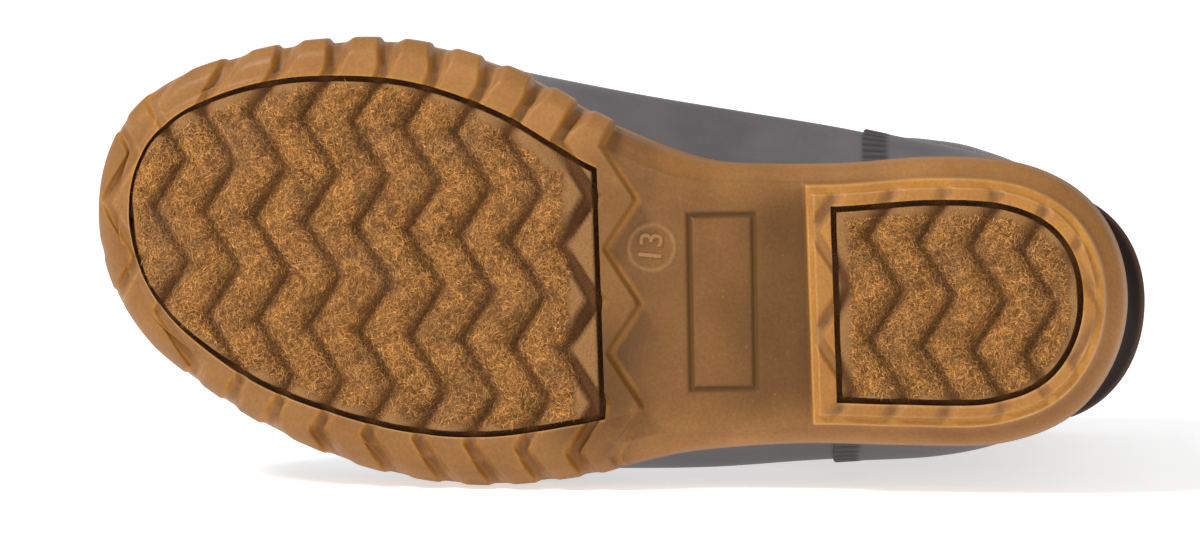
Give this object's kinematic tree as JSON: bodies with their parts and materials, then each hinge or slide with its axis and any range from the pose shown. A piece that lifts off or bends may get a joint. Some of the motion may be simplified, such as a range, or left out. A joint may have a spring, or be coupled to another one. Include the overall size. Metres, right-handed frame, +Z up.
{
  "type": "duck boot",
  "caption": "Child's right duck boot lying on its lateral side: gum rubber cup sole with fibre-faced chevron tread, dark rubber foot shell and a laced leather shaft.",
  "frame": {"origin": "centre of the boot's bounding box in plan, at the floor under its lateral side", "axes": "+X from the toe to the heel, +Y from the sole towards the collar, +Z up, from the lateral side to the medial side"},
  "size_m": [0.2216, 0.1606, 0.0947],
  "materials": {
    "gum_rubber": "satin, slightly mottled",
    "tread_fibre": "short fuzzy fibre set in rubber",
    "shell_rubber": "satin",
    "black_rubber": "satin",
    "leather": "waxed",
    "collar_fabric": "woven",
    "lining": "brushed",
    "lace_cord": "braided",
    "aged_brass": "aged"
  },
  "bodies": {
    "root": {"outsole": "gum_rubber", "forefoot_tread": "tread_fibre", "heel_tread": "tread_fibre", "insole": "lining", "foot_shell": "shell_rubber", "heel_counter": "shell_rubber", "heel_kick": "black_rubber", "shaft": "leather", "eyestay_lateral": "leather", "eyestay_medial": "leather", "backstay": "leather", "tongue": "leather", "collar": "collar_fabric", "lace": "lace_cord", "eyelet_lateral_1": "aged_brass", "eyelet_lateral_2": "aged_brass", "eyelet_lateral_3": "aged_brass", "eyelet_lateral_4": "aged_brass", "eyelet_medial_1": "aged_brass", "eyelet_medial_2": "aged_brass", "eyelet_medial_3": "aged_brass", "eyelet_medial_4": "aged_brass"}
  },
  "joints": []
}
